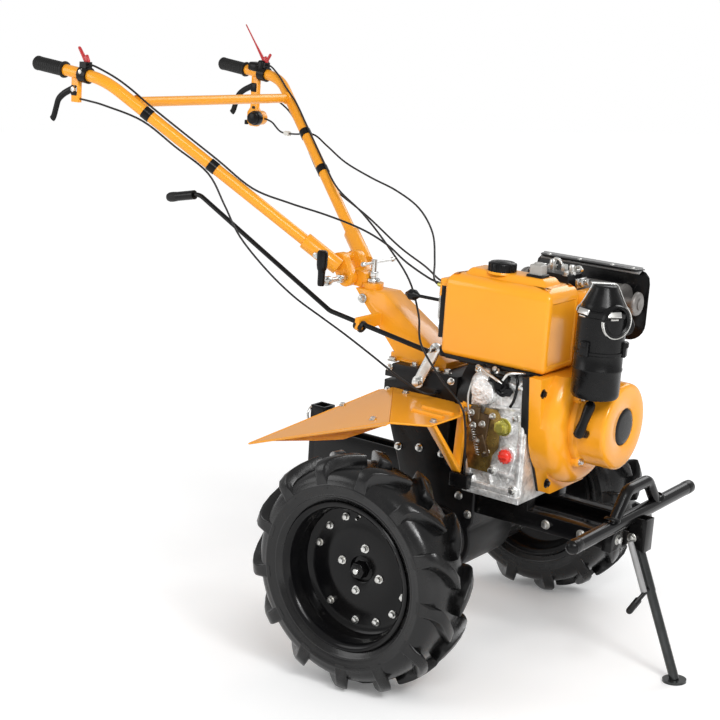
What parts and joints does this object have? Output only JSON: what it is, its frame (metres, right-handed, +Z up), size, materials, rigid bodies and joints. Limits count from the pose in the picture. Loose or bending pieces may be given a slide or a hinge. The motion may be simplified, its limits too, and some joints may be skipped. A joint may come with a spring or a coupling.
{
  "type": "power tiller",
  "caption": "Walk-behind power tiller with lugged drive wheels, an open air-cooled diesel engine, a leaning column with a wide V handlebar, fenders, a bumper and a front stand.",
  "frame": {"origin": "on the floor in the centre plane, midway between the rear ends of the grips and the front edge of the stand's foot", "axes": "+X forward, towards the bumper; +Y to the machine's left; +Z up"},
  "size_m": [1.635, 0.978, 1.52],
  "materials": {
    "yellow_paint": "gloss",
    "black_paint": "satin",
    "cast_alloy": "cast",
    "zinc": "satin",
    "gold_zinc": "satin",
    "tyre": "matte",
    "rubber": "matte",
    "red_plastic": "gloss",
    "black_plastic": "satin",
    "cable_sheath": "satin"
  },
  "bodies": {
    "machine": {"gear_case": "black_paint", "shift_box": "black_paint", "clutch_bell": "black_paint", "shift_arm": "zinc", "gear_lever": "black_paint", "column": "yellow_paint", "swivel_head": "yellow_paint", "swivel_pin": "zinc", "crankcase": "cast_alloy", "cylinder_head": "cast_alloy", "control_plate": "gold_zinc", "oil_cap": "red_plastic", "shroud_gasket": "black_plastic", "fan_shroud": "yellow_paint", "recoil_cover": "yellow_paint", "recoil_handle": "black_plastic", "fuel_tank": "yellow_paint", "tank_cap": "black_plastic", "air_filter": "black_plastic", "filter_cap": "black_plastic", "intake_elbow": "rubber", "muffler": "black_paint", "muffler_shield": "black_paint", "cable_bracket": "zinc", "stop_lever": "black_plastic", "front_rails": "black_paint", "bumper_bar": "black_paint", "bumper_hoop": "black_paint", "stand_bracket": "black_paint", "fender_right": "yellow_paint", "fender_left": "yellow_paint", "fender_struts": "yellow_paint", "strut_feet": "black_paint", "rear_hitch": "black_paint", "cable_steer_right": "cable_sheath", "cable_steer_left": "cable_sheath", "cable_throttle": "cable_sheath", "cable_clutch": "cable_sheath", "cable_stop": "cable_sheath"},
    "handlebar": {"handle_head": "yellow_paint", "handle_tube_right": "yellow_paint", "handle_tube_left": "yellow_paint", "crossbar": "yellow_paint", "grips": "rubber", "lever_lugs": "yellow_paint", "steering_levers": "black_plastic", "lever_housings": "black_plastic", "thumb_levers": "red_plastic", "switch_cap": "black_plastic", "cable_clips": "black_plastic", "tilt_clamp": "black_paint"},
    "wheel_right": {"tyre_right": "tyre", "rim_right": "black_paint", "hub_right": "black_paint"},
    "wheel_left": {"tyre_left": "tyre", "rim_left": "black_paint", "hub_left": "black_paint"},
    "stand": {"stand_leg": "black_paint", "stand_pedal": "black_paint", "stand_link": "zinc"}
  },
  "joints": [
    {"name": "wheel_right_spin", "type": "hinge", "parent": "machine", "child": "wheel_right", "pos_m": [0.22075, -0.417, 0.269], "axis": [0, 1, 0], "continuous": true},
    {"name": "wheel_left_spin", "type": "hinge", "parent": "machine", "child": "wheel_left", "pos_m": [0.22075, 0.417, 0.269], "axis": [0, 1, 0], "continuous": true},
    {"name": "stand_swing", "type": "hinge", "parent": "machine", "child": "stand", "pos_m": [0.68756, 0, 0.32291], "axis": [0, 1, 0], "range_deg": [0, 95]},
    {"name": "handlebar_tilt", "type": "hinge", "parent": "machine", "child": "handlebar", "pos_m": [-0.089, 0, 0.8595], "axis": [0, 1, 0], "range_deg": [-12, 20], "deforming": ["cable_steer_right", "cable_steer_left", "cable_throttle", "cable_clutch", "cable_stop"]}
  ]
}
